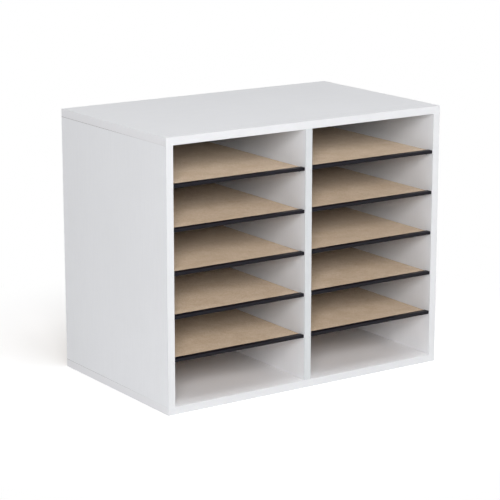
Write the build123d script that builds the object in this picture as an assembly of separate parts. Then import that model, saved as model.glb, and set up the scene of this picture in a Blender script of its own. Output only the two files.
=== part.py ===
from build123d import *
import os

# Literature organizer: a desk sorter of faced chipboard with two columns of compartments, divided by
# loose hardboard shelves that lie on pins and wear a plastic trim on their front edge.
# Seen from the front, X runs to the right, Y to the back and Z up. The origin is the middle of the
# underside. All sizes are in millimetres.

# Casing
width = 495.0
depth = 300.0
height = 408.0
board = 12.0

# Edge bands, glued on every board edge that shows
band = 0.5
band_arris = 0.2

# Small round bars and bores repeat many times and lie hidden, so each is a prism of this many flats
flats_per_round = 12

# Back panel, let into a rabbet that runs round the rear of the casing
back_thickness = 3.0
back_recess = 1.0
back_play = 0.3
rabbet_width = 6.0

# Shelves
shelves_per_column = 5
bottom_compartment = 67.0
top_compartment = 58.0
shelf_thickness = 3.0
shelf_side_gap = 0.5
shelf_rear_gap = 1.0

# Trim, a channel that grips the front edge of the shelf between the beads inside its lips
trim_depth = 10.0
trim_recess = 1.2
trim_lip = 0.8
trim_web = 1.2
trim_nose_radius = 1.0
trim_heel_chamfer = 0.3
bead_height = 0.2
bead_width = 0.8
bead_inset = 1.0

# Shelf pins, a round peg in the wall and a flat ledge that carries the shelf
pin_diameter = 5.0
pin_peg_length = 5.5
pin_hole_depth = 6.0
pin_hole_play = 0.05
pin_ledge_reach = 7.0
pin_ledge_width = 7.0
pin_ledge_thickness = 1.5
pin_ledge_corner = 1.5
pin_rib_thickness = 2.0
pin_rib_reach = 5.5
pin_to_trim_gap = 1.5
rear_pin_setback = 40.0

# Glued dowels between the uprights and the panels over and under them
dowels_per_joint = 3
dowel_diameter = 6.0
dowel_in_panel = 8.0
dowel_in_upright = 16.0
dowel_glue_gap = 0.1
dowel_end_gap = 1.0
dowel_front_margin = 35.0
dowel_rear_margin = 35.0

# Screws up through the bottom panel, each one midway between two dowels
screw_diameter = 3.5
screw_head_diameter = 7.0
screw_head_height = 2.4
screw_length = 32.0
screw_point = 4.0
screw_tip_radius = 0.3
screw_sink = 0.4
screw_play = 0.1
screw_slot_width = 1.0
screw_slot_length = 3.6
screw_slot_depth = 1.3

# Staples that hold the back panel in its rabbet and on the divider
staples_per_upright = 4
staples_per_column = 2
staple_crown = 10.0
staple_wire_width = 1.2
staple_wire_thickness = 0.7
staple_leg = 14.0
staple_play = 0.05
staple_end_margin = 40.0

# Places worked out from the sizes above
front = -depth / 2
rear = depth / 2
inner_side = width / 2 - board
inner_top = height - board
column_width = inner_side - board / 2
column_middle = board / 2 + column_width / 2
back_front_face = rear - back_recess - back_thickness
clear_height = inner_top - board
shelf_room = clear_height - bottom_compartment - top_compartment - shelf_thickness
shelf_pitch = shelf_room / (shelves_per_column - 1)
shelf_length = column_width - 2 * shelf_side_gap
trim_front = front + trim_recess
shelf_front = trim_front + trim_web
shelf_rear = back_front_face - shelf_rear_gap
front_pin_y = trim_front + trim_depth + pin_to_trim_gap + pin_ledge_width / 2
rear_pin_y = rear - rear_pin_setback
pin_rows = (front_pin_y, rear_pin_y)
columns = {"left": -column_middle, "right": column_middle}
upright_middles = (-inner_side - board / 2, 0.0, inner_side + board / 2)


def spread(first, last, count):
    """Evenly spaced places from first to last."""
    return [first + (last - first) * i / (count - 1) for i in range(count)]


dowel_places = spread(front + dowel_front_margin, rear - dowel_rear_margin, dowels_per_joint)
screw_places = [(a + b) / 2 for a, b in zip(dowel_places, dowel_places[1:])]
staple_line = rabbet_width / 2


def block(x, y, z):
    """A box from its (low, high) pair along each axis."""
    size = Box(x[1] - x[0], y[1] - y[0], z[1] - z[0])
    return Pos((x[0] + x[1]) / 2, (y[0] + y[1]) / 2, (z[0] + z[1]) / 2) * size


def round_bar(radius, start, direction, length):
    """A round bar or bore of the given length from a start point along a direction."""
    section = Plane(start, z_dir=direction) * RegularPolygon(radius, flats_per_round)
    return extrude(section, amount=length)


def group(shapes):
    """One body of several separate solids."""
    return Compound([solid for shape in shapes for solid in shape.solids()])


def shelf_levels():
    """Heights of the shelves' undersides, from the lowest up."""
    return [board + bottom_compartment + i * shelf_pitch for i in range(shelves_per_column)]


# Bores that the fasteners share with the boards

def dowel_bores(panel_face, up, x_places):
    """Bores for the dowels of the uprights' ends that meet a panel at the height panel_face."""
    radius = dowel_diameter / 2 + dowel_glue_gap
    below = (dowel_in_upright if up else dowel_in_panel) + dowel_end_gap
    above = (dowel_in_panel if up else dowel_in_upright) + dowel_end_gap
    return [round_bar(radius, (x, y, panel_face - below), (0, 0, 1), below + above)
            for x in x_places for y in dowel_places]


def screw_form(x, y, play):
    """A countersunk screw that points up, its sides grown by play."""
    shank = screw_diameter / 2 + play
    tip = screw_sink + screw_length
    rings = [
        (screw_sink, screw_head_diameter / 2 + play),
        (screw_sink + screw_head_height, shank),
        (tip - screw_point, shank),
        (tip, screw_tip_radius),
    ]
    return loft([Pos(x, y, z) * RegularPolygon(radius, flats_per_round) for z, radius in rings], ruled=True)


def screw_bore(x, y):
    """The countersunk bore of a screw, open at the underside."""
    mouth = round_bar(screw_head_diameter / 2 + screw_play, (x, y, 0), (0, 0, 1), screw_sink)
    return mouth + screw_form(x, y, screw_play)


def pin_bores(wall_x, inward):
    """Bores of one wall's shelf pins. Inward is the way from the wall into the column, 1 or -1."""
    radius = pin_diameter / 2 + pin_hole_play
    return [round_bar(radius, (wall_x, y, level - pin_diameter / 2), (-inward, 0, 0), pin_hole_depth)
            for level in shelf_levels() for y in pin_rows]


def staple_form(play):
    """A staple whose crown runs along Z on a sheet's face at Y = 0, with its legs towards -Y."""
    half = staple_crown / 2 + play
    across = staple_wire_width / 2 + play
    staple = block((-across, across), (0, staple_wire_thickness), (-half, half))
    for way in (-1, 1):
        leg = sorted((way * half, way * (staple_crown / 2 - staple_wire_thickness - play)))
        staple += block((-across, across), (-staple_leg - play, 0), leg)
    return staple


def staples(play):
    """All the staples of the back panel, their sides grown by play."""
    seat = back_front_face + back_thickness
    upright = staple_form(play)
    level = Rot(0, 90, 0) * upright
    uprights = (-inner_side - staple_line, 0.0, inner_side + staple_line)
    heights = spread(board + staple_end_margin, inner_top - staple_end_margin, staples_per_upright)
    placed = [Pos(x, seat, z) * upright for x in uprights for z in heights]
    run = column_width / 2 - staple_end_margin
    for middle in columns.values():
        for x in spread(middle - run, middle + run, staples_per_column):
            placed += [Pos(x, seat, z) * level for z in (board - staple_line, inner_top + staple_line)]
    return placed


def rabbet():
    """The room that the rabbet leaves for the back panel, round the rear of the casing."""
    half = inner_side + rabbet_width
    return block((-half, half), (back_front_face, rear), (board - rabbet_width, inner_top + rabbet_width))


# Boards

def panel(z):
    """A panel over or under the uprights, bare of its edge bands."""
    half = width / 2 - band
    return block((-half, half), (front + band, rear), z) - rabbet()


def top_panel():
    """The panel on top, with blind bores for the dowels in its underside."""
    bores = dowel_bores(inner_top, True, upright_middles)
    return panel((inner_top, height)) - bores - staples(staple_play)


def bottom_panel():
    """The panel that the organizer stands on, with the screws' countersunk bores right through it."""
    bores = dowel_bores(board, False, upright_middles)
    screws = [screw_bore(x, y) for x in upright_middles for y in screw_places]
    return panel((0, board)) - bores - screws - staples(staple_play)


def upright_bores(x):
    """All the bores in the two ends of the upright in the middle of which x lies."""
    screws = [screw_bore(x, y) for y in screw_places]
    return dowel_bores(inner_top, True, [x]) + dowel_bores(board, False, [x]) + screws


def side_panel(side):
    """A side panel. Side is -1 on the left and 1 on the right."""
    edges = sorted((side * inner_side, side * width / 2))
    wall = block(edges, (front + band, rear), (board, inner_top)) - rabbet()
    bores = upright_bores(side * (inner_side + board / 2)) + pin_bores(side * inner_side, -side)
    return wall - bores - staples(staple_play)


def centre_divider():
    """The upright between the columns, which the back panel runs behind."""
    wall = block((-board / 2, board / 2), (front + band, back_front_face), (board, inner_top))
    bores = upright_bores(0.0) + pin_bores(-board / 2, -1) + pin_bores(board / 2, 1)
    return wall - bores - staples(staple_play)


def back_panel():
    """The thin sheet that lies in the rabbet with a little play all round."""
    half = inner_side + rabbet_width - back_play
    low = board - rabbet_width + back_play
    high = inner_top + rabbet_width - back_play
    sheet = block((-half, half), (back_front_face, back_front_face + back_thickness), (low, high))
    return sheet - staples(staple_play)


# Edge bands

def eased(outer_face, along):
    """A band with its outer face's two long arrises eased, while its ends stay cut square."""
    return chamfer(outer_face.edges().filter_by(along), band_arris)


def front_band(x, z, along):
    """A band on a board's front edge, which runs along an axis."""
    strip = block(x, (front, front + band), z)
    return eased(strip.faces().sort_by(Axis.Y)[0], along)


def end_band(side, z):
    """A band on a panel's end edge, behind the band on its front edge."""
    edges = sorted((side * width / 2, side * (width / 2 - band)))
    strip = block(edges, (front + band, rear), z)
    return eased(strip.faces().sort_by(Axis.X)[-1 if side > 0 else 0], Axis.Y)


def panel_bands(z):
    """The three bands of a panel: its front edge and both its ends."""
    return group([front_band((-width / 2, width / 2), z, Axis.X), end_band(-1, z), end_band(1, z)])


def upright_band(middle):
    """The band on an upright's front edge, cut square between the bands of the two panels."""
    return front_band((middle - board / 2, middle + board / 2), (board, inner_top), Axis.Z)


# Shelves and their trims

def shelf(middle, level):
    """A loose shelf with its underside at a level, from the web of its trim to just before the back."""
    half = shelf_length / 2
    return block((middle - half, middle + half), (shelf_front, shelf_rear), (level, level + shelf_thickness))


def trim_profile():
    """The channel's section, in Y and Z, round a shelf whose middle lies at height 0."""
    slot = shelf_thickness + 2 * bead_height
    outer = slot + 2 * trim_lip
    heel = trim_front + trim_depth
    section = Pos(trim_front + trim_depth / 2, 0) * Rectangle(trim_depth, outer)
    section = fillet(section.vertices().group_by(Axis.X)[0], trim_nose_radius)
    section = chamfer(section.vertices().group_by(Axis.X)[-1], trim_heel_chamfer)
    section -= Pos((shelf_front + heel) / 2, 0) * Rectangle(heel - shelf_front, slot)
    bead = Rectangle(bead_width, bead_height)
    bead_y = heel - bead_inset - bead_width / 2
    for way in (-1, 1):
        section += Pos(bead_y, way * (shelf_thickness + bead_height) / 2) * bead
    return section


def trim(middle, level):
    """The trim of the shelf at a level, as long as the shelf."""
    section =Plane.YZ.offset(middle) * Pos(0, level + shelf_thickness / 2) * trim_profile()
    return extrude(section, amount=shelf_length / 2, both=True)


def shelf_pin():
    """A pin whose wall lies at X = 0, which reaches into the column along +X under a shelf at height 0."""
    peg = round_bar(pin_diameter / 2, (0, 0, -pin_diameter / 2), (-1, 0, 0), pin_peg_length)
    half = pin_ledge_width / 2
    ledge = block((0, pin_ledge_reach), (-half, half), (-pin_ledge_thickness, 0))
    tip = ledge.faces().sort_by(Axis.X)[-1].edges().filter_by(Axis.Z)
    ledge = chamfer(tip, pin_ledge_corner)
    corner = Polyline(
        (0, -pin_ledge_thickness),
        (pin_rib_reach, -pin_ledge_thickness),
        (0, -pin_diameter),
        close=True,
    )
    rib = extrude(Plane.XZ * make_face(corner), amount=pin_rib_thickness / 2, both=True)
    return peg + ledge + rib


def pin_set(middle, level):
    """The four pins under one shelf."""
    half = column_width / 2
    pin = shelf_pin()
    left = [Pos(middle - half, y, level) * pin for y in pin_rows]
    right = [Pos(middle + half, y, level) * Rot(0, 0, 180) * pin for y in pin_rows]
    return group(left + right)


# Fasteners

def dowels(panel_face, up):
    """The dowels between a panel's face and the ends of the uprights."""
    below = dowel_in_upright if up else dowel_in_panel
    length = dowel_in_panel + dowel_in_upright
    return group(round_bar(dowel_diameter / 2, (x, y, panel_face - below), (0, 0, 1), length)
                 for x in upright_middles for y in dowel_places)


def screw(x, y):
    """A countersunk screw with a cross recess in its head."""
    recess = Box(screw_slot_length, screw_slot_width, 2 * screw_slot_depth)
    recess += Box(screw_slot_width, screw_slot_length, 2 * screw_slot_depth)
    return screw_form(x, y, 0) - Pos(x, y, screw_sink) * recess


def bottom_screws():
    """The screws that draw the uprights down on the bottom panel."""
    return group(screw(x, y) for x in upright_middles for y in screw_places)


def organizer():
    """Every piece under its name."""
    pieces = {
        "top_panel": top_panel(),
        "bottom_panel": bottom_panel(),
        "left_side_panel": side_panel(-1),
        "right_side_panel": side_panel(1),
        "centre_divider": centre_divider(),
        "back_panel": back_panel(),
        "top_edge_bands": panel_bands((inner_top, height)),
        "bottom_edge_bands": panel_bands((0, board)),
        "left_side_edge_band": upright_band(upright_middles[0]),
        "divider_edge_band": upright_band(upright_middles[1]),
        "right_side_edge_band": upright_band(upright_middles[2]),
        "top_dowels": dowels(inner_top, True),
        "bottom_dowels": dowels(board, False),
        "bottom_screws": bottom_screws(),
        "back_staples": group(staples(0)),
    }
    for column, middle in columns.items():
        for number, level in enumerate(shelf_levels(), 1):
            pieces[f"{column}_shelf_{number}"] = shelf(middle, level)
            pieces[f"{column}_trim_{number}"] = trim(middle, level)
            pieces[f"{column}_pins_{number}"] = pin_set(middle, level)
    return pieces


os.makedirs("parts", exist_ok=True)
for name, piece in organizer().items():
    export_step(piece, f"parts/{name}.step")
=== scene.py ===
# %% [markdown]
# # A desk organizer of faced chipboard, hardboard shelves and black trims
# The casing, the shelves and their trims are already built to size, and this file gives them their
# finish. The small hidden hardware, such as pins, screws, staples and dowels, is modelled again
# here, smoother than in the plain frame. All sizes are in metres: X runs to the right, Y to the
# back and Z up.

# %% Load the frame
import math
import bpy
import numpy as np
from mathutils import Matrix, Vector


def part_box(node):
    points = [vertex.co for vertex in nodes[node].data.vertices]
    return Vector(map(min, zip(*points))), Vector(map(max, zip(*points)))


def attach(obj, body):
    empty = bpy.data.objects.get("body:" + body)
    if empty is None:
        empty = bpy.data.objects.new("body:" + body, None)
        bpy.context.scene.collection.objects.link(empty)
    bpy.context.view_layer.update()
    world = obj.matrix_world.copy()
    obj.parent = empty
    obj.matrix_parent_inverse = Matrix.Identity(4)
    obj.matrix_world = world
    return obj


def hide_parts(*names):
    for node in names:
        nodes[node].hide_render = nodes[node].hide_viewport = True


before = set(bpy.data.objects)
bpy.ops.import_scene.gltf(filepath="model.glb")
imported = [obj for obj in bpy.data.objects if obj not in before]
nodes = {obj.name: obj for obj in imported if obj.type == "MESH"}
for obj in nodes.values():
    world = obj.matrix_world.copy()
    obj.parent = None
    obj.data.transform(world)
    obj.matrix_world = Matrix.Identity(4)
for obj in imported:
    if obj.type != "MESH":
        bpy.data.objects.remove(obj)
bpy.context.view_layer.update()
print("pieces in the frame:", len(nodes))

# %% [markdown]
# ## Sizes read from the frame
# The places in this file could be typed in as numbers. They are worked out from the boxes of the
# pieces instead, so that everything still fits when a size of the organizer changes. `span` gives
# the low and high end of a piece along one axis.

# %% Places of the boards and shelves
mm = 0.001
AXIS_NUMBERS = {"x": 0, "y": 1, "z": 2}


def span(node, axis):
    """The lowest and highest coordinate of a piece along an axis."""
    low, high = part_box(node)
    return low[AXIS_NUMBERS[axis]], high[AXIS_NUMBERS[axis]]


def middle(node, axis):
    """The coordinate halfway between the two ends of a piece along an axis."""
    low, high = span(node, axis)
    return (low + high) / 2


underside, board_top = span("bottom_panel", "z")
board = board_top - underside
inner_top, top_face = span("top_panel", "z")
front = span("top_edge_bands", "y")[0]
rear = span("top_panel", "y")[1]
half_width = span("top_edge_bands", "x")[1]
inner_side = half_width - board
upright_names = ("left_side_panel", "centre_divider", "right_side_panel")
uprights = {name: middle(name, "x") for name in upright_names}
columns = ("left", "right")
shelf_count = sum(name.startswith("left_shelf_") for name in nodes)
levels = [span(f"left_shelf_{number}", "z")[0] for number in range(1, shelf_count + 1)]
shelf_pitch = levels[1] - levels[0]
shelf_thickness = span("left_shelf_1", "z")[1] - levels[0]
print("board", round(board / mm, 2), "mm, shelves at", [round(level / mm, 1) for level in levels])

# %% [markdown]
# ## The camera
# The organizer is seen from the front left and a little above, from far away, so that its upright
# edges stay almost parallel. A camera can be turned by three angles and moved about until the view
# fits, but it is easier to reason as a photographer does with a tripod: by the bearing, the height
# angle and the distance from the point that the camera looks at.

# %% Camera
camera_azimuth = math.radians(-34.2241)
camera_elevation = math.radians(13.5579)
camera_distance = 3.06778
camera_aim = np.array([-0.002986, 0.0, 0.183869])
camera_lens = 142.296
sensor_width = 36.0
far_clip = 100.0


def bearing(azimuth, elevation):
    """The direction to someone at an azimuth, which turns from the front, and an elevation."""
    level = math.cos(elevation)
    return np.array([math.sin(azimuth) * level, -math.cos(azimuth) * level, math.sin(elevation)])


camera_data = bpy.data.cameras.new("photo_camera")
camera_data.lens = camera_lens
camera_data.sensor_width = sensor_width
camera_data.clip_end = far_clip
camera = bpy.data.objects.new("photo_camera", camera_data)
camera.location = camera_aim + camera_distance * bearing(camera_azimuth, camera_elevation)
camera.rotation_euler = (math.pi / 2 - camera_elevation, 0.0, camera_azimuth)
bpy.context.scene.collection.objects.link(camera)
bpy.context.scene.camera = camera
bpy.context.scene.view_settings.view_transform = "Standard"
print("camera at", [round(v, 3) for v in camera.location])

# %% [markdown]
# ## Materials as expressions
# A finish is a small program that says how bright, how rough and how high each point of the surface
# is. Nodes can be wired by hand, but a formula is easier to read as a formula. `Wire` holds one
# value of a material, and adding or multiplying wires adds the Math nodes that do it. `Shading`
# holds a material or the world, and its `node` makes every other kind of node. `Finish` adds the
# patterns that a piece's surface needs.

# %% A wire that can be calculated with
class Wire:
    """A value inside a material. Sums, products and powers of it add Math nodes."""

    def __init__(self, finish, socket):
        self.finish = finish
        self.socket = socket

    def maths(self, operation, *values):
        """The value of a Math node that works on these wires or numbers."""
        made = self.finish.node("ShaderNodeMath", {"operation": operation}, dict(enumerate(values)))
        return made["Value"]

    def __add__(self, other):
        return self.maths("ADD", self, other)

    def __radd__(self, other):
        return self.maths("ADD", other, self)

    def __sub__(self, other):
        return self.maths("SUBTRACT", self, other)

    def __rsub__(self, other):
        return self.maths("SUBTRACT", other, self)

    def __mul__(self, other):
        return self.maths("MULTIPLY", self, other)

    def __rmul__(self, other):
        return self.maths("MULTIPLY", other, self)

    def __truediv__(self, other):
        return self.maths("DIVIDE", self, other)

    def __mod__(self, other):
        return self.maths("MODULO", self, other)

    def __pow__(self, other):
        return self.maths("POWER", self, other)

    def __abs__(self):
        return self.maths("ABSOLUTE", self)

    def sine(self):
        """The sine of the value, in radians."""
        return self.maths("SINE", self)

    def larger(self, other):
        """The larger one of two values."""
        return self.maths("MAXIMUM", self, other)


def between(first, second, share):
    """The value between two values, wires or numbers: first (1 - share) + second share."""
    return first * (1 - share) + second * share


print("a quarter of the way from 2 to 6 is", between(2, 6, 0.25))


# %% Shading, which makes the nodes
class Shading:
    """The nodes of a material, or of the world, under construction."""

    def __init__(self, made):
        self.made = made
        self.made.use_nodes = True
        self.tree = self.made.node_tree
        self.tree.nodes.clear()

    def node(self, kind, settings=None, inputs=None):
        """A new node: its settings are set first, then its sockets get numbers, colours or wires."""
        made = self.tree.nodes.new(kind)
        for name, value in (settings or {}).items():
            setattr(made, name, value)
        for key, value in (inputs or {}).items():
            socket = made.inputs[key] if isinstance(key, int) else self.named(made.inputs, key)
            if isinstance(value, Wire):
                self.tree.links.new(value.socket, socket)
            else:
                socket.default_value = value
        return {socket.name: Wire(self, socket) for socket in made.outputs if socket.enabled}

    @staticmethod
    def named(sockets, name):
        """The enabled socket of that name, since a Mix node has several of each."""
        return next(socket for socket in sockets if socket.name == name and socket.enabled)

    def step(self, value, low, high):
        """A smooth step: 0 below low, 1 above high."""
        settings = {"interpolation_type": "SMOOTHSTEP"}
        inputs = {"Value": value, "From Min": low, "From Max": high}
        return self.node("ShaderNodeMapRange", settings, inputs)["Result"]

    def mix(self, share, first, second):
        """The colour between two colours, all first at share 0."""
        inputs = {"Factor": share, "A": first, "B": second}
        return self.node("ShaderNodeMix", {"data_type": "RGBA"}, inputs)["Result"]

    def vector(self, operation, first, second):
        """The vector that a Vector Math node makes of two vectors."""
        settings = {"operation": operation}
        return self.node("ShaderNodeVectorMath", settings, {0: first, 1: second})["Vector"]

    def looked_at(self):
        """1 for what the camera, a reflection or glass looks at, and 0 for what only gets light."""
        ray = self.node("ShaderNodeLightPath")
        return ray["Is Camera Ray"].larger(ray["Is Glossy Ray"]).larger(ray["Is Transmission Ray"])


print("shading can", ", ".join(name for name in vars(Shading) if not name.startswith("__")))


# %% A finish, with its patterns and its shader
ORIGIN = (0.0, 0.0, 0.0)


class Finish(Shading):
    """A material of a piece. Place is the Object coordinate of the point that is being shaded."""

    def __init__(self, name):
        super().__init__(bpy.data.materials.new(name))
        self.place = self.node("ShaderNodeTexCoord")["Object"]

    def axes(self):
        """The X, Y and Z of the point as wires, under the names x, y and z."""
        parts = self.node("ShaderNodeSeparateXYZ", inputs={"Vector": self.place})
        return {axis: parts[axis.upper()] for axis in AXIS_NUMBERS}

    def scaled(self, stretch, shift):
        """The point moved by shift and then multiplied by stretch, a number or one for each axis."""
        moved = self.vector("ADD", self.place, shift)
        return self.vector("MULTIPLY", moved, np.broadcast_to(stretch, 3).tolist())

    def noise(self, stretch, detail=2.0, roughness=0.5, shift=ORIGIN):
        """Cloudy noise from 0 to 1. Stretch is how many clouds a metre holds along each axis."""
        inputs = {"Vector": self.scaled(stretch, shift), "Scale": 1.0}
        inputs.update({"Detail": detail, "Roughness": roughness})
        return self.node("ShaderNodeTexNoise", {}, inputs)["Fac"]

    def cells(self, stretch, shift):
        """A pattern of broken-up cells: each cell's random grey, and the distance to its heart."""
        inputs = {"Vector": self.scaled(stretch, shift), "Scale": 1.0}
        found = self.node("ShaderNodeTexVoronoi", {}, inputs)
        grey = self.node("ShaderNodeSeparateColor", {}, {"Color": found["Color"]})["Red"]
        return grey, found["Distance"]

    def bump(self, height, depth):
        """The normal of a surface raised by height, from 0 to 1, times a depth in metres."""
        inputs = {"Height": height, "Distance": depth, "Strength": 1.0}
        return self.node("ShaderNodeBump", {}, inputs)["Normal"]

    def close(self, constants, **varying):
        """Ends the finish in a Principled shader, with fixed values and wires for what varies."""
        inputs = {**constants, **{name.replace("_", " "): wire for name, wire in varying.items()}}
        shader = self.node("ShaderNodeBsdfPrincipled", {}, inputs)["BSDF"]
        self.node("ShaderNodeOutputMaterial", {}, {"Surface": shader})
        return self.made


def drawn_out(axis, along, across):
    """A stretch that draws a pattern out along one axis: clouds a metre along it and across it."""
    return [along if name == axis else across for name in AXIS_NUMBERS]


def rgb(red, green, blue):
    """A colour as a screen shows it, from 0 to 255, turned into the linear one of the shaders."""
    seen = np.array([red, green, blue]) / 255.0
    linear = np.where(seen <= 0.04045, seen / 12.92, ((seen + 0.055) / 1.055) ** 2.4)
    return (*linear.tolist(), 1.0)


print("a mid grey is", round(rgb(128, 128, 128)[0], 3), "in linear light")

# %% [markdown]
# ## White faced chipboard
# Each board is pressed chipboard under a white melamine paper. The paper is thinner than a fifth
# of a millimetre and has a faint grain and a fine pearl texture. Wherever a cut goes deeper, as in
# the rabbet, the bores and the rear edges, the brown chips show. One could model the paper as its
# own sheet, but a finish that looks at how deep a point lies in the board gives the same result on
# every cut. The fine dark line at both ends of an upright is partly a dark joint and partly painted
# shade in the gap. It is drawn in the same way, by distance.

# %% The colours and scales of the boards
facing = 0.15 * mm
facing_blur = 0.05 * mm
chip_light = rgb(218, 194, 156)
chip_dark = rgb(148, 114, 78)
melamine = rgb(240, 241, 244)
melamine_shade = rgb(237, 238, 241)
# Painted shade: the colour of the line at the uprights' ends, a dark joint and painted shade in the
# gap
joint_and_painted_shade = rgb(132, 130, 130)
joint_width = (0.1 * mm, 0.5 * mm)
joint_fade_start = 40 * mm
joint_fade_end = 180 * mm
joint_inside = 0.4
joint_in_front = 0.25
chips_per_metre = 620
fine_chips_per_metre = 1700
fine_layer = (board * 0.24, board * 0.38)
dust_per_metre = 900
dust_share = 0.25
vein_along, vein_across = 26, 700
clouds_per_metre = 9
cloud_share = 0.3
paper_tones = (0.35, 0.68)
pearls_per_metre = 1300
pearl_height = 0.25
vein_height = 0.1
board_relief = 0.12 * mm
paper_roughness = 0.56
vein_roughness = 0.08
chip_roughness = 0.30
seed_x, seed_y, seed_z = 7, 0.3, 5
FLAT_CHIPS = {"x": (1.0, 0.35, 0.35), "z": (0.35, 0.35, 1.0)}
print("a chip is about", round(1 / chips_per_metre / mm, 1), "mm thick, and thinner near the faces")


# %% The finish of the boards
def end_line_and_shade(finish, place, node, grain):
    """How dark the line at the ends of an upright is, by the distance to its nearer end: partly a dark
    joint and partly painted shade in the gap. The line is weaker on the inner faces, and weaker still
    near the front."""
    low, high = span(node, grain)
    from_end = (high - low) / 2 - abs(place[grain] - middle(node, grain))
    line = 1 - finish.step(from_end, *joint_width)
    outside = finish.step(abs(place["x"]), half_width - board / 2, half_width - board / 4)
    towards_back = finish.step(place["y"], front + joint_fade_start, front + joint_fade_end)
    return line * between(joint_inside, 1.0, outside) * between(joint_in_front, 1.0, towards_back)


def faced_board(node, across, grain):
    """The finish of one board. Across is the axis of its thickness, and grain the one its grain
    follows. Depth is the distance to the nearer face: chips where it passes the facing, and paper
    elsewhere."""
    finish = Finish(f"faced_{node}")
    place = finish.axes()
    from_heart = abs(place[across] - middle(node, across))
    core = 1 - finish.step(from_heart, board / 2 - facing - facing_blur, board / 2 - facing)

    flat = np.array(FLAT_CHIPS[across])
    seed = (middle(node, "x") * seed_x, seed_y, middle(node, "z") * seed_z)
    coarse, coarse_edge = finish.cells(flat * chips_per_metre, seed)
    fine = finish.cells(flat * fine_chips_per_metre, seed)[0]
    chip = between(coarse, fine, finish.step(from_heart, *fine_layer))
    dust = finish.noise(dust_per_metre, detail=3.0)
    chip_colour = finish.mix(between(chip, dust, dust_share), chip_dark, chip_light)

    vein_stretch = drawn_out(grain, vein_along, vein_across)
    vein = finish.noise(vein_stretch, detail=3.0, roughness=0.6, shift=seed)
    cloud = finish.noise(clouds_per_metre, shift=seed)
    tone = finish.step(between(vein, cloud, cloud_share), *paper_tones)
    paper = finish.mix(tone, melamine_shade, melamine)
    # Painted shade: the line at an upright's ends is partly a dark joint and partly painted shade in
    # the gap
    if across == "x":
        paper = finish.mix(end_line_and_shade(finish, place, node, grain), paper, joint_and_painted_shade)
    colour = finish.mix(core, paper, chip_colour)

    pearl = finish.noise(pearls_per_metre, roughness=0.55)
    relief = between(pearl * pearl_height + vein * vein_height, 1 - coarse_edge, core)
    rough = paper_roughness + vein_roughness * vein + chip_roughness * core
    normal = finish.bump(relief, board_relief)
    constants = {"Specular IOR Level": 0.25}
    return finish.close(constants, Base_Color=colour, Roughness=rough, Normal=normal)


def dress(node, material):
    """Gives a piece one material on all its faces."""
    slots = nodes[node].data.materials
    slots.clear()
    slots.append(material)


for name in ("top_panel", "bottom_panel"):
    dress(name, faced_board(name, "z", "x"))
for name in uprights:
    dress(name, faced_board(name, "x", "z"))
print("boards dressed:", 2 + len(uprights))

# %% [markdown]
# ## White edge bands
# The front edges carry a half millimetre strip of plastic, a touch cleaner and smoother than the
# paper. Their colour is a greyer white than the paper's, painted shade on the front faces, and the
# divider's strip is darker still. The strips on the ends of the two panels are whiter. The scraper
# that trims a strip leaves faint lines along its length. They could be modelled as grooves, but they
# are finer than a hair, so a noise that is drawn out along the band makes both the gloss and the
# relief.

# %% The finish of the edge bands
# Painted shade: the front strips get a greyer white than the paper, the divider's darker still; the
# panels' ends get a near white
front_strip_white_shaded = rgb(211, 212, 214)
front_strip_grey_shaded = rgb(207, 208, 211)
divider_strip_white_shaded = rgb(197, 200, 202)
divider_strip_grey_shaded = rgb(193, 196, 199)
end_white = rgb(235, 235, 238)
strip = 0.5 * mm
strip_blur = 0.1 * mm
scrape_along, scrape_across = 12, 2200
band_clouds_per_metre = 14
band_cloud_share = 0.4
band_roughness = 0.30
scrape_roughness = 0.16
band_relief = 0.02 * mm


def edge_band(name, along, light, shade, on_panel=False):
    """The finish of a band whose scraper lines run along an axis. Its two tones, light and shade, are
    greyed by painted shade on the front faces. A panel's bands also cover its ends, where the strips
    are whiter: those points lie within a strip's thickness of the end, and behind the strip on the
    front."""
    finish = Finish(name)
    scrape_stretch = drawn_out(along, scrape_along, scrape_across)
    scrape = finish.noise(scrape_stretch, detail=3.0, roughness=0.6)
    cloud = finish.noise(band_clouds_per_metre)
    colour = finish.mix(between(scrape, cloud, band_cloud_share), shade, light)
    if on_panel:
        place = finish.axes()
        on_end = finish.step(abs(place["x"]), half_width - strip - strip_blur, half_width - strip)
        behind_front = finish.step(place["y"], front + strip, front + strip + strip_blur)
        colour = finish.mix(on_end * behind_front, colour, end_white)
    rough = band_roughness + scrape_roughness * scrape
    normal = finish.bump(scrape, band_relief)
    constants = {"Specular IOR Level": 0.5}
    return finish.close(constants, Base_Color=colour, Roughness=rough, Normal=normal)


panel_band = edge_band("white_band_level", "x", front_strip_white_shaded, front_strip_grey_shaded, on_panel=True)
upright_band = edge_band("white_band_upright", "z", front_strip_white_shaded, front_strip_grey_shaded)
divider_band = edge_band("greyer_band_divider", "z", divider_strip_white_shaded, divider_strip_grey_shaded)
band_finishes = {
    "top_edge_bands": panel_band,
    "bottom_edge_bands": panel_band,
    "left_side_edge_band": upright_band,
    "right_side_edge_band": upright_band,
    "divider_edge_band": divider_band,
}
for name, band_finish in band_finishes.items():
    dress(name, band_finish)
print("edge bands dressed:", len(band_finishes))

# %% [markdown]
# ## Hardboard shelves and back
# The shelves and the back are wet-process hardboard: a smooth brown face with short wood fibres
# that lie every way, darker rims where the saw went, and a rough face that keeps the print of the
# wire screen it was pressed on. A photograph of hardboard would repeat itself on every shelf. Noise
# never does, and one finish serves all ten shelves, because the height within one shelf pitch says
# which face of a shelf a point is on.

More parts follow.
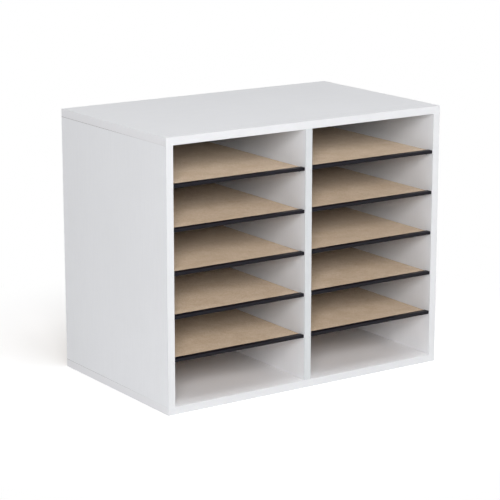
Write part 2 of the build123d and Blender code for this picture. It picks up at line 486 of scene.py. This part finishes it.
# %% The colours and scales of hardboard
fibre_light = rgb(185, 166, 144)
fibre_mid = rgb(175, 155, 131)
fibre_dark = rgb(134, 107, 82)
rough_face = rgb(190, 154, 117)
raw_edge = rgb(132, 99, 71)
sheen_tint = rgb(255, 244, 232)
sawn_rim = (0.36 * mm, 0.9 * mm)
skin = (0.15 * mm, 0.3 * mm)
rough_skin = (0.1 * mm, 0.25 * mm)
screen_pitch = 1.6 * mm
fibre_slants = (17, 77, 137)
fibre_stretch = (150, 1500, 600)
fibre_tones = (0.42, 0.60)
blotches_per_metre = 38
blotch_tones = (0.32, 0.68)
specks_per_metre = 640
speck_tones = (0.60, 0.74)
fibre_share = 0.36
speck_share = 0.45
rim_share = 0.80
under_share = 0.70
print_share = 0.22
print_strength = 1.3
print_fade = 0.9
hardboard_roughness = 0.46
fibre_roughness = 0.14
raw_roughness = 0.3
fibre_height = 0.25
blotch_height = 0.1
print_height = 2.0
hardboard_relief = 0.06 * mm
print("a fibre is about", round(1 / fibre_stretch[0] / mm, 1), "mm long")


# %% The finish of hardboard
def fibres(finish, shift):
    """Short fibres that cross at three slants: the mean of three noises, each drawn out along lines
    that are turned by 60 degrees from the last one's."""
    total = 0.0
    for slant in fibre_slants:
        turn = {"Vector": finish.place, "Rotation": (0.0, 0.0, math.radians(slant)), "Location": shift}
        turned = finish.node("ShaderNodeMapping", {"vector_type": "POINT"}, turn)["Vector"]
        drawn = finish.vector("MULTIPLY", turned, fibre_stretch)
        cloud = {"Vector": drawn, "Scale": 1.0, "Detail": 1.0}
        total = total + finish.node("ShaderNodeTexNoise", {}, cloud)["Fac"]
    return finish.step(total / len(fibre_slants), *fibre_tones)


def screen_print(place, face_axes, blotch):
    """The print of the wire screen: the product of two waves along the two axes of the face,
    sin(a) sin(b), moved to lie from 0 to 1, and weaker where the blotches are."""
    first, second = (place[axis] * (2 * math.pi / screen_pitch) for axis in face_axes)
    return (0.5 + 0.5 * (first.sine() * second.sine())) * (print_strength - print_fade * blotch)


def hardboard(name, within, thickness, face_axes, shift):
    """The finish of a hardboard sheet. Within gives a point's height over the sheet's rough face and
    its distance to the nearer side edge. Cut is where neither face is near, so that the inside of
    the sheet shows, and under is the rough face. Each colour is laid over the ones before it."""
    finish = Finish(name)
    place = finish.axes()
    height, from_side = within(place)
    fibre = fibres(finish, shift)
    blotch = finish.noise(blotches_per_metre, detail=4.0, roughness=0.55, shift=shift)
    speck = finish.step(finish.noise(specks_per_metre, shift=shift), *speck_tones)
    rim = 1 - finish.step(from_side, *sawn_rim)
    cut = finish.step(height, *skin) * finish.step(thickness - height, *skin)
    under = 1 - finish.step(height, *rough_skin)
    printed = under * screen_print(place, face_axes, blotch)

    colour = finish.mix(finish.step(blotch, *blotch_tones), fibre_mid, fibre_light)
    layers = (
        (fibre * fibre_share, fibre_dark),
        (speck * speck_share, fibre_dark),
        (rim * rim_share, raw_edge),
        (cut, raw_edge),
        (under * under_share, rough_face),
        (printed * print_share, raw_edge),
    )
    for share, layer_colour in layers:
        colour = finish.mix(share, colour, layer_colour)
    rough = hardboard_roughness + fibre_roughness * fibre + raw_roughness * (cut + under)
    relief = fibre * fibre_height + blotch * blotch_height + printed * print_height
    normal = finish.bump(relief, hardboard_relief)
    constants = {"Specular IOR Level": 0.15, "Diffuse Roughness": 1.0, "Sheen Weight": 0.15,
                 "Sheen Roughness": 0.5, "Sheen Tint": sheen_tint}
    return finish.close(constants, Base_Color=colour, Roughness=rough, Normal=normal)


# %% Dress the shelves and the back
def within_shelf(place):
    """Height over the underside of whichever shelf the point is on, which is the remainder of Z by
    the pitch, and distance to the shelf's nearer side edge. Both columns lie alike about X = 0, so
    the absolute X, less that of the column's middle, is the distance from the shelf's middle."""
    height = (place["z"] - (levels[0] - mm)) % shelf_pitch - mm
    low, high = span("right_shelf_1", "x")
    return height, (high - low) / 2 - abs(abs(place["x"]) - (low + high) / 2)


def within_back(place):
    """Height over the rear face of the back panel, measured towards the front, and distance to the
    panel's nearer side edge."""
    return span("back_panel", "y")[1] - place["y"], span("back_panel", "x")[1] - abs(place["x"])


back_front, back_rear = span("back_panel", "y")
back_thickness = back_rear - back_front
back_shift = (0.7, 0.2, 0.4)
shelf_finish = hardboard("hardboard_shelf", within_shelf, shelf_thickness, "xy", ORIGIN)
back_finish = hardboard("fibreboard_back", within_back, back_thickness, "xz", back_shift)
for column in columns:
    for number in range(1, shelf_count + 1):
        dress(f"{column}_shelf_{number}", shelf_finish)
dress("back_panel", back_finish)
print("shelves dressed:", len(columns) * shelf_count)

# %% [markdown]
# ## Black plastic: trims and pins
# The trims are extruded, so what little texture they have runs along them: fine die lines and a
# satin gloss. The pins come from a mould, with a fine even grain all over. A flat black would show
# neither, so each has its own finish, which changes the gloss far more than the colour.

# %% The finishes of the black plastics
trim_black = rgb(11, 10, 16)
trim_grey = rgb(19, 17, 26)
pin_black = rgb(26, 25, 28)
die_line_along, die_line_across = 6, 2600
haze_along, haze_across = 22, 90
haze_share = 0.5
trim_roughness = 0.34
haze_roughness = 0.12
die_line_roughness = 0.08
trim_relief = 0.015 * mm
sparks_per_metre = 2600
pin_clouds_per_metre = 160
pin_roughness = 0.52
spark_roughness = 0.12
pin_relief = 0.02 * mm


def extruded_plastic():
    """The finish of the trims: a noise drawn out along X makes the die lines, and a wide one haze."""
    finish = Finish("black_trim_satin")
    die_line = finish.noise(drawn_out("x", die_line_along, die_line_across), roughness=0.6)
    haze = finish.noise(drawn_out("x", haze_along, haze_across), detail=3.0)
    colour = finish.mix(between(die_line, haze, haze_share), trim_black, trim_grey)
    rough = trim_roughness + haze_roughness * haze + die_line_roughness * die_line
    normal = finish.bump(die_line, trim_relief)
    constants = {"Specular IOR Level": 0.15}
    return finish.close(constants, Base_Color=colour, Roughness=rough, Normal=normal)


def moulded_plastic():
    """The finish of the pins: a very fine noise makes the mould's spark-eroded grain."""
    finish = Finish("black_pin_matt")
    spark = finish.noise(sparks_per_metre, roughness=0.6)
    cloud = finish.noise(pin_clouds_per_metre)
    colour = finish.mix(cloud, pin_black, trim_grey)
    rough = pin_roughness + spark_roughness * spark
    normal = finish.bump(spark, pin_relief)
    constants = {"Specular IOR Level": 0.5}
    return finish.close(constants, Base_Color=colour, Roughness=rough, Normal=normal)


trim_finish = extruded_plastic()
pin_finish = moulded_plastic()
for column in columns:
    for number in range(1, shelf_count + 1):
        dress(f"{column}_trim_{number}", trim_finish)
print("trims dressed:", len(columns) * shelf_count)

# %% [markdown]
# ## Surfaces from rings
# Screws, pins, dowels and staples are all tubes: a closed ring of points that changes as it moves
# along a path. Each could be turned, bent or extruded with its own tool. Here one function turns an
# array of such rings into closed meshes, for all copies at once. The array's axes are the copy, the
# station along the path, the place round the ring, and x, y, z.

# %% Faces of a tube, and its volume
def tube_faces(stations, around):
    """The faces of one tube, by point number: quads from each ring to the next, and triangles from
    the first and last ring to two poles, which are numbered after all the points of the rings."""
    index = np.arange(stations * around).reshape(stations, around)
    turned = np.roll(index, -1, axis=1)
    quads = np.stack([index[:-1], turned[:-1], turned[1:], index[1:]], axis=-1).reshape(-1, 4)
    pole = stations * around
    first_cap = np.stack([np.full(around, pole), turned[0], index[0]], axis=-1)
    last_cap = np.stack([np.full(around, pole + 1), index[-1], turned[-1]], axis=-1)
    return quads, np.concatenate([first_cap, last_cap])


def signed_volume(points, quads, triangles):
    """The volume inside the faces, which is negative when they point inwards: the sum over all
    triangles of a . (b x c) / 6."""
    halves = np.concatenate([quads[:, :3], quads[:, (0, 2, 3)], triangles])
    a, b, c = (points[halves[:, i]] for i in range(3))
    return np.einsum("ij,ij", a, np.cross(b, c)) / 6


print("a tube of 3 rings of 8 points has", sum(len(faces) for faces in tube_faces(3, 8)), "faces")

# %% A piece from rings
soft_edge = math.radians(32)


def ring_mesh(name, rings, material):
    """A piece of closed tubes. The two poles of a tube are the middles of its first and last ring,
    and faces that would point inwards are turned round."""
    copies, stations, around = rings.shape[:3]
    poles = rings[:, (0, -1)].mean(axis=2)
    points = np.concatenate([rings.reshape(copies, -1, 3), poles], axis=1)
    first_points = np.arange(copies)[:, None, None] * points.shape[1]
    quads, caps = tube_faces(stations, around)
    quads = (quads + first_points).reshape(-1, 4)
    caps = (caps + first_points).reshape(-1, 3)
    points = points.reshape(-1, 3)
    volume = signed_volume(points, quads, caps)
    if volume < 0:
        quads = quads[:, ::-1]
        caps = caps[:, ::-1]
    mesh = bpy.data.meshes.new(name)
    mesh.from_pydata(points.tolist(), [], quads.tolist() + caps.tolist())
    mesh.materials.append(material)
    mesh.shade_smooth()
    mesh.set_sharp_from_angle(angle=soft_edge)
    mesh.validate()
    piece = bpy.data.objects.new(name, mesh)
    bpy.context.scene.collection.objects.link(piece)
    print(name, "copies", copies, "faces", len(mesh.polygons), "mm3", round(abs(volume) / mm ** 3, 1))
    return piece


def seat(piece, node):
    """Lets a piece stand for a node of the casing, which it hides, and ride on it."""
    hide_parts(node)
    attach(piece, "casing")


def moved(rings, places):
    """A copy of the rings, which are of one piece, at each place."""
    return rings[None] + np.asarray(places)[:, None, None, :]


def spread(first, last, count):
    """Evenly spaced places from first to last."""
    return np.linspace(first, last, count).tolist()


print("four places from 0 to 1:", [round(place, 2) for place in spread(0, 1, 4)])

# %% [markdown]
# ## Shelf pins
# Each shelf lies on four moulded pins. A round peg sits in the wall, and outside it a flat ledge
# with a rib under it carries the shelf. A box and a cylinder would look crude, so the pin is one
# tube that runs out of the wall: its ring is the peg's circle at first and then the T of ledge and
# rib. Both are written as a distance from one point inside them at each angle, the heart, so that
# they join without a seam.

# %% The T of a pin, and the circle behind it
peg_radius = 2.5 * mm
peg_length = 5.5 * mm
peg_bevel = 0.6 * mm
peg_end_share = 0.78
ledge_reach = 7.0 * mm
ledge_half = 3.5 * mm
ledge_thickness = 1.5 * mm
ledge_corner = 1.5 * mm
ledge_end_share = 0.86
rib_half = 1.0 * mm
rib_reach = 5.5 * mm
least_rib = 0.02 * mm
web_share = 0.6
edge_round = 0.3 * mm
heart = np.array([0.0, -1.2 * mm])
peg_centre = np.array([0.0, -peg_radius])


def corner_arc(x, z, radius, start, count=4):
    """Points on a quarter turn about (x, z), from a start angle in quarter turns."""
    angle = (start + np.linspace(0, 1, count)) * math.pi / 2
    return np.stack([x + radius * np.cos(angle), z + radius * np.sin(angle)], axis=-1)


def tee(half, rib_depth):
    """The T of ledge and rib, anticlockwise from the ledge's lower right corner, corners rounded."""
    ledge_round = min(edge_round, half / 2)
    rib_round = min(edge_round, rib_depth / 2, rib_half / 2)
    low = -ledge_thickness
    foot = low - rib_depth
    web = min(rib_half, half * web_share)
    corners = [
        corner_arc(half - ledge_round, low + ledge_round, ledge_round, 3),
        corner_arc(half - ledge_round, -ledge_round, ledge_round, 0),
        corner_arc(-half + ledge_round, -ledge_round, ledge_round, 1),
        corner_arc(-half + ledge_round, low + ledge_round, ledge_round, 2),
        np.array([[-web, low]]),
        corner_arc(-web + rib_round, foot + rib_round, rib_round, 2),
        corner_arc(web - rib_round, foot + rib_round, rib_round, 3),
        np.array([[web, low]]),
    ]
    return np.concatenate(corners)


def on_circle(outline):
    """The points of the peg's circle at the outline's angles, seen from the heart. Each lies at the
    reach r > 0 with |heart + r way - centre| equal to the radius, the root of a quadratic."""
    way = outline - heart
    way = way / np.linalg.norm(way, axis=1, keepdims=True)
    offset = heart - peg_centre
    along = way @ offset
    reach = -along + np.sqrt(along ** 2 - offset @ offset + peg_radius ** 2)
    return heart + way * reach[:, None]


print("points round a pin:", len(tee(ledge_half, peg_radius)))

# %% The pins in their walls
ledge_first_ring = 0.4 * mm
ledge_rings = 6
ledge_corner_rings = np.array([1.0, 0.5, 0.2, 0.05]) * mm
wall_gap = 0.01 * mm


def pin_rings():
    """The rings of a pin that comes out of a wall at X = 0 towards +X, under a shelf at Z = 0. The
    ledge keeps its width up to its rounded corners, and the rib gets shallower all the way."""
    full_rib = 2 * peg_radius - ledge_thickness
    full = tee(ledge_half, full_rib)
    circle = on_circle(full)
    peg_end = peg_centre + (circle - peg_centre) * peg_end_share
    stations = [(-peg_length, peg_end), (-peg_length + peg_bevel, circle)]
    stations += [(-wall_gap, circle), (0.0, full)]
    straight = np.linspace(ledge_first_ring, ledge_reach - ledge_corner, ledge_rings)
    for reach in np.concatenate([straight, ledge_reach - ledge_corner_rings]):
        inside = max(reach - (ledge_reach - ledge_corner), 0.0)
        half = ledge_half - ledge_corner + math.sqrt(ledge_corner ** 2 - inside ** 2)
        rib = max(1 - reach / rib_reach, 0.0) * full_rib
        stations.append((reach, tee(half, max(rib, least_rib))))
    ledge_end = np.array([0.0, -ledge_thickness / 2])
    stations.append((ledge_reach, ledge_end + (stations[-1][1] - ledge_end) * ledge_end_share))
    return np.stack([np.column_stack([np.full(len(ring), x), ring]) for x, ring in stations])


pin_form = pin_rings()
pin_turned = pin_form * np.array([-1.0, -1.0, 1.0])
for column in columns:
    for number, level in enumerate(levels, 1):
        node = f"{column}_pins_{number}"
        walls = (span(node, "x")[0] + peg_length, span(node, "x")[1] - peg_length)
        rows = (span(node, "y")[0] + ledge_half, span(node, "y")[1] - ledge_half)
        left_pins = moved(pin_form, [(walls[0], y, level) for y in rows])
        right_pins = moved(pin_turned, [(walls[1], y, level) for y in rows])
        pins = ring_mesh(f"moulded_{node}", np.concatenate([left_pins, right_pins]), pin_finish)
        seat(pins, node)

# %% [markdown]
# ## Screws
# Six countersunk screws come up through the bottom panel into the uprights. Their heads show from
# below: a flat ring, a cross recess and a thread behind it. A thread is often made with the Screw
# modifier, but then head and thread are two pieces. Here the screw is one surface of revolution
# whose radius also winds, and the recess is a cross pressed into the flat of the head.

# %% Zinc and steel
zinc = rgb(196, 194, 188)
zinc_shade = rgb(150, 146, 138)
steel = rgb(190, 190, 190)
steel_shade = rgb(140, 140, 142)
scratch_stretch = 6
scratch_roughness = 0.18
metal_relief = 0.01 * mm


def metal(name, light, dark, roughness, scale):
    """A plated metal: cloudy brightness, and fine scratches in the gloss that run along Z. Scale is
    how many clouds a metre holds."""
    finish = Finish(name)
    cloud = finish.noise(scale, detail=3.0)
    scratch = finish.noise(drawn_out("z", scale, scale * scratch_stretch), roughness=0.7)
    colour = finish.mix(cloud, dark, light)
    rough = roughness + scratch_roughness * scratch
    normal = finish.bump(scratch, metal_relief)
    return finish.close({"Metallic": 1.0}, Base_Color=colour, Roughness=rough, Normal=normal)


zinc_finish = metal("zinc_plating", zinc, zinc_shade, roughness=0.28, scale=400)
steel_finish = metal("bright_steel_wire", steel, steel_shade, roughness=0.30, scale=300)
print("metals:", zinc_finish.name, "and", steel_finish.name)

# %% The screw's surface
head_radius = 3.5 * mm
head_height = 2.4 * mm
shank_radius = 1.75 * mm
bare_radius = shank_radius * 0.86
core_radius = 1.15 * mm
screw_length = 32.0 * mm
point_length = 4.0 * mm
blunt_share = 0.12
thread_pitch = 1.8 * mm
thread_start = 6.0 * mm
thread_steepness = 1.6
thread_clip = 0.5
recess_half = 0.5 * mm
recess_reach = 1.9 * mm
recess_depth = 1.3 * mm
recess_wall = (recess_half * 0.75, recess_half * 1.1)
recess_end = (recess_reach * 0.85, recess_reach)
recess_rise = 0.55
screw_around = 48
head_shares = np.linspace(0.05, 1.0, 20)
first_cone_ring = 0.12 * mm
cone_rings = 6
shank_gap = 0.2 * mm
rings_per_turn = 8


def smooth(value, low, high):
    """A smooth step in numpy: 0 at low, 1 at high, with level ends."""
    t = np.clip((value - low) / (high - low), 0.0, 1.0)
    return t * t * (3 - 2 * t)


def head_rings(angles):
    """The flat of the head, in rings from the middle out. A point is pressed in where it is near
    either arm of the cross, so where the smaller of |x| and |y| is small, and less further out."""
    angle, radius = np.meshgrid(angles, head_shares * head_radius)
    x, y = radius * np.cos(angle), radius * np.sin(angle)
    arm = 1 - smooth(np.minimum(abs(x), abs(y)), *recess_wall)
    cross = arm * (1 - smooth(radius, *recess_end))
    pressed = cross * recess_depth * (1 - recess_rise * radius / recess_reach)
    return np.stack([x, y, pressed], axis=-1)


def stem_rings(angles):
    """The cone, bare shank, thread and point, in rings going up. Radius is the cone's up to the
    head's height, and then the bare shank's or the thread's, which is a clipped triangle wave of
    height / pitch - angle / one turn. Towards the point all of it narrows evenly."""
    cone_heights = np.linspace(first_cone_ring, head_height, cone_rings)
    upper_heights = np.arange(head_height + shank_gap, screw_length, thread_pitch / rings_per_turn)
    angle, height = np.meshgrid(angles, np.concatenate([cone_heights, upper_heights]))
    cone = between(head_radius, shank_radius, np.clip(height / head_height, 0, 1))
    turn = height / thread_pitch - angle / (2 * math.pi)
    wave = 1 - 2 * abs(turn - np.floor(turn) - 0.5)
    crest = np.clip(thread_steepness * wave - thread_clip, 0, 1)
    threaded = between(core_radius, shank_radius, crest)
    shank = between(bare_radius, threaded, smooth(height, thread_start, thread_start + thread_pitch))
    to_point = np.clip((height - (screw_length - point_length)) / point_length, 0, 1)
    radius = np.where(height < head_height, cone, shank) * between(1.0, blunt_share, to_point)
    return np.stack([radius * np.cos(angle), radius * np.sin(angle), height], axis=-1)


screw_angles = np.linspace(0, 2 * math.pi, screw_around, endpoint=False)
screw_form = np.concatenate([head_rings(screw_angles), stem_rings(screw_angles)])
print("rings of a screw:", len(screw_form))

# %% Screws in the bottom panel
screw_low = span("bottom_screws", "z")[0]
screw_front, screw_rear = span("bottom_screws", "y")
screw_rows = (screw_front + head_radius, screw_rear - head_radius)
screw_places = [(x, y, screw_low) for x in uprights.values() for y in screw_rows]
screws = ring_mesh("countersunk_screws", moved(screw_form, screw_places), zinc_finish)
seat(screws, "bottom_screws")

# %% [markdown]
# ## Staples
# The back panel is stapled into its rabbet and to the divider. A staple is flat steel wire bent to
# a U with small round corners. A curve with a bevel could make it, but rings keep the wire's flat
# sides square to the crown. The frame of the section is simple, because the path stays in one
# plane: one side of the wire always faces out of that plane.

# %% The staple's path and section
crown = 10.0 * mm
wire_width = 1.2 * mm
wire_thickness = 0.7 * mm
wire_corner = 0.2 * mm
leg = 14.0 * mm
bend = 0.6 * mm
leg_points = 4
bend_points = 6


def staple_path():
    """Half of the U and its mirror image: up one leg, round two bends and down the other. Each row
    is z, y and the two parts of the way outwards there."""
    half = (crown - wire_thickness) / 2
    top = wire_thickness / 2
    climb = np.linspace(-leg, top - bend, leg_points + 1)[:-1]
    side = [np.full(leg_points, half), climb, np.ones(leg_points), np.zeros(leg_points)]
    turn = np.linspace(0, math.pi / 2, bend_points)
    cosine, sine = np.cos(turn), np.sin(turn)
    arc = [half - bend + bend * cosine, top - bend + bend * sine, cosine, sine]
    quarter = np.concatenate([np.stack(side, axis=-1), np.stack(arc, axis=-1)])
    return np.concatenate([quarter, quarter[::-1] * np.array([-1.0, 1.0, -1.0, 1.0])])


def staple_rings():
    """The rings of a staple whose crown runs along Z at Y = 0 and whose legs go towards -Y. Ring
    point = path point + section's second coordinate times the way outwards, with its first one
    along X."""
    path = staple_path()
    half_wide = wire_width / 2 - wire_corner
    half_thick = wire_thickness / 2 - wire_corner
    corners = ((1, 1), (-1, 1), (-1, -1), (1, -1))
    section = np.concatenate([
        corner_arc(across * half_wide, out * half_thick, wire_corner, quarter, 3)
        for quarter, (across, out) in enumerate(corners)
    ])
    x = section[:, 0] + 0 * path[:, :1]
    y = path[:, 1:2] + section[:, 1] * path[:, 3:4]
    z = path[:, :1] + section[:, 1] * path[:, 2:3]
    return np.stack([x, y, z], axis=-1)


upright_form = staple_rings()
level_form = upright_form[..., (2, 1, 0)] * np.array([1.0, 1.0, -1.0])
print("rings of a staple:", len(upright_form))

# %% Staples round the back panel
staples_per_upright = 4
staples_per_column = 2
end_margin = 40.0 * mm
rabbet_line = 3.0 * mm
seat_y = span("back_panel", "y")[1]
upright_lines = (-inner_side - rabbet_line, 0.0, inner_side + rabbet_line)
heights = spread(board_top + end_margin, inner_top - end_margin, staples_per_upright)
upright_places = [(x, seat_y, z) for x in upright_lines for z in heights]
run = (inner_side - board / 2) / 2 - end_margin
level_places = []
for column in columns:
    column_middle = middle(f"{column}_shelf_1", "x")
    for x in spread(column_middle - run, column_middle + run, staples_per_column):
        level_places += [(x, seat_y, board_top - rabbet_line), (x, seat_y, inner_top + rabbet_line)]
staple_copies = [moved(upright_form, upright_places), moved(level_form, level_places)]
staples = ring_mesh("rear_wire_staples", np.concatenate(staple_copies), steel_finish)
seat(staples, "back_staples")

# %% [markdown]
# ## Dowels
# Fluted beech dowels are glued into the ends of the uprights and into both panels, and the flutes
# let the spare glue out. A plain cylinder would do for what is hidden, but the same rings give the
# flutes for nothing: the radius is the dowel's own less a cosine of the angle.

# %% The dowels' finish
beech_light = rgb(222, 188, 146)
beech_dark = rgb(190, 148, 104)
beech_ray = rgb(150, 108, 70)
grain_along, grain_across = 30, 700
ray_along, ray_across = 250, 1500
ray_tones = (0.6, 0.7)
ray_share = 0.5
beech_roughness = 0.6
grain_roughness = 0.15
beech_relief = 0.05 * mm


def beech():
    """Bare beech: a grain that is drawn out along Z, with short dark rays in it."""
    finish = Finish("beech_dowel_wood")
    grain = finish.noise(drawn_out("z", grain_along, grain_across), detail=3.0)
    ray_noise = finish.noise(drawn_out("z", ray_along, ray_across), detail=1.0)
    ray = finish.step(ray_noise, *ray_tones)
    colour = finish.mix(grain, beech_dark, beech_light)
    colour = finish.mix(ray * ray_share, colour, beech_ray)
    rough = beech_roughness + grain_roughness * grain
    normal = finish.bump(grain, beech_relief)
    constants = {"Specular IOR Level": 0.3}
    return finish.close(constants, Base_Color=colour, Roughness=rough, Normal=normal)


beech_finish = beech()
print("wood:", beech_finish.name)

# %% Dowels between the uprights and the panels
dowel_radius = 3.0 * mm
dowel_chamfer = 0.8 * mm
dowel_margin = 35.0 * mm
dowels_per_joint = 3
body_rings = 6
flutes = 16
flute_depth = 0.15 * mm
points_per_flute = 6


def dowel_rings(low, high):
    """The rings of a dowel that stands from low to high. Radius is the dowel's, less the chamfer at
    both ends, less a flute's depth times (1 - cos(flutes angle)) / 2."""
    angles = np.linspace(0, 2 * math.pi, flutes * points_per_flute, endpoint=False)
    body = spread(low + dowel_chamfer, high - dowel_chamfer, body_rings)
    angle, height = np.meshgrid(angles, [low, *body, high])
    inset = np.array([dowel_chamfer, *[0.0] * body_rings, dowel_chamfer])[:, None]
    radius = dowel_radius - inset - flute_depth * (0.5 - 0.5 * np.cos(flutes * angle))
    return np.stack([radius * np.cos(angle), radius * np.sin(angle), height], axis=-1)


dowel_rows = spread(front + dowel_margin, rear - dowel_margin, dowels_per_joint)
dowel_feet = [(x, y, 0.0) for x in uprights.values() for y in dowel_rows]
for node in ("top_dowels", "bottom_dowels"):
    rings = moved(dowel_rings(*span(node, "z")), dowel_feet)
    seat(ring_mesh(f"fluted_{node}", rings, beech_finish), node)

# %% [markdown]
# ## Floor
# A pale floor catches the shadow. A plane would do, but its corners could come into a wide view, so
# it is a disc far wider than any view. To white the floor out with more light would also bleach the
# organizer. Instead the camera gets a little light straight from the floor, and all of its light
# further out, while the shadow beside the organizer stays.

# %% The floor's finish
floor_glow = 0.38
floor_fade = (0.34, 0.66)
floor_clouds_per_metre = 3
floor_grey = rgb(240, 240, 240)
floor_light = rgb(244, 244, 244)
white = rgb(255, 255, 255)


def floor_material():
    """Pale paint that shines a little for the camera, and is plain white beyond the floor's fade.
    Far is a smooth step of the distance from the middle, the root of x x + y y."""
    finish = Finish("pale_floor")
    place = finish.axes()
    cloud = finish.noise(floor_clouds_per_metre, detail=3.0)
    colour = finish.mix(cloud, floor_grey, floor_light)
    paint = finish.node("ShaderNodeBsdfDiffuse", {}, {"Color": colour})["BSDF"]
    glow, open_floor = (
        finish.node("ShaderNodeEmission", {}, {"Color": white, "Strength": strength})["Emission"]
        for strength in (floor_glow, 1.0)
    )
    lit = finish.node("ShaderNodeAddShader", {}, {0: paint, 1: glow})["Shader"]
    far = finish.step((place["x"] * place["x"] + place["y"] * place["y"]) ** 0.5, *floor_fade)
    shown = finish.node("ShaderNodeMixShader", {}, {"Fac": far, 1: lit, 2: open_floor})["Shader"]
    parts = {"Fac": finish.looked_at(), 1: paint, 2: shown}
    both = finish.node("ShaderNodeMixShader", {}, parts)["Shader"]
    finish.node("ShaderNodeOutputMaterial", {}, {"Surface": both})
    return finish.made


floor_finish = floor_material()
print("floor white beyond", floor_fade[1], "m")

# %% The floor disc
floor_radius = 14.0
floor_drop = 0.2 * mm
floor_rings = 24
floor_around = 96


def disc_points():
    """Points on circles about the origin. The radius grows with the square of the ring's number, so
    that the rings are closer together near the middle."""
    reaches = floor_radius * (np.arange(1, floor_rings + 1) / floor_rings) ** 2
    angles = np.linspace(0, 2 * math.pi, floor_around, endpoint=False)
    angle, reach = np.meshgrid(angles, reaches)
    drop = np.full_like(reach, -floor_drop)
    return np.stack([reach * np.cos(angle), reach * np.sin(angle), drop], axis=-1).reshape(-1, 3)


ring_index = np.arange(floor_rings * floor_around).reshape(floor_rings, floor_around)
next_index = np.roll(ring_index, -1, axis=1)
floor_faces = np.stack([ring_index[:-1], ring_index[1:], next_index[1:], next_index[:-1]], axis=-1)
floor_faces = floor_faces.reshape(-1, 4).tolist() + [ring_index[0].tolist()]
floor_mesh = bpy.data.meshes.new("studio_floor")
floor_mesh.from_pydata(disc_points().tolist(), [], floor_faces)
floor_mesh.materials.append(floor_finish)
floor = bpy.data.objects.new("studio_floor", floor_mesh)
bpy.context.scene.collection.objects.link(floor)
print("floor radius", floor_radius, "m, faces", len(floor_faces))

# %% [markdown]
# ## Light
# Soft light comes from all round, and from seven large lamps. The strongest is behind the camera and
# reaches deep into the compartments. The others stand to the front, overhead, at both sides and
# behind, so that every face has some light of its own. One strong lamp would be simpler, but its
# shadows would be hard and the compartments black. The world is white where it is looked at, and
# dimmer as a source of light.

# %% World and lamps
world_level = 0.21
lamp_distance = 4.0
lamp_size = 1.5
# Each lamp's name, azimuth and elevation in degrees, and power in watts
LAMPS = (
    ("key", -34.0, 22.0, 93.0),
    ("front", 0.0, 25.0, 26.0),
    ("front_right", 35.0, 20.0, 24.0),
    ("overhead", 0.0, 72.0, 31.0),
    ("left_side", -85.0, 15.0, 4.0),
    ("right_side", 95.0, 8.0, 32.0),
    ("rear", 175.0, 8.0, 37.0),
)


def white_world():
    """A world that shines at world_level but is seen as white, also in gloss and through glass."""
    world = Shading(bpy.data.worlds.new("studio_world"))
    dim, bright = (
        world.node("ShaderNodeBackground", {}, {"Color": white, "Strength": strength})["Background"]
        for strength in (world_level, 1.0)
    )
    parts = {"Fac": world.looked_at(), 1: dim, 2: bright}
    mixed = world.node("ShaderNodeMixShader", {}, parts)["Shader"]
    world.node("ShaderNodeOutputWorld", {}, {"Surface": mixed})
    return world.made


def softbox(name, azimuth, elevation, watts):
    """A square lamp at a bearing from the organizer's middle, facing it."""
    lamp = bpy.data.lights.new(name, "AREA")
    lamp.shape = "SQUARE"
    lamp.size = lamp_size
    lamp.energy = watts
    azimuth = math.radians(azimuth)
    elevation = math.radians(elevation)
    holder = bpy.data.objects.new(name, lamp)
    aim = np.array([0.0, 0.0, (underside + top_face) / 2])
    holder.location = aim + lamp_distance * bearing(azimuth, elevation)
    holder.rotation_euler = (math.pi / 2 - elevation, 0.0, azimuth)
    bpy.context.scene.collection.objects.link(holder)


bpy.context.scene.world = white_world()
for lamp_row in LAMPS:
    softbox(*lamp_row)
print("world", world_level, "and", len(LAMPS), "lamps,", sum(row[-1] for row in LAMPS), "W together")

# %% [markdown]
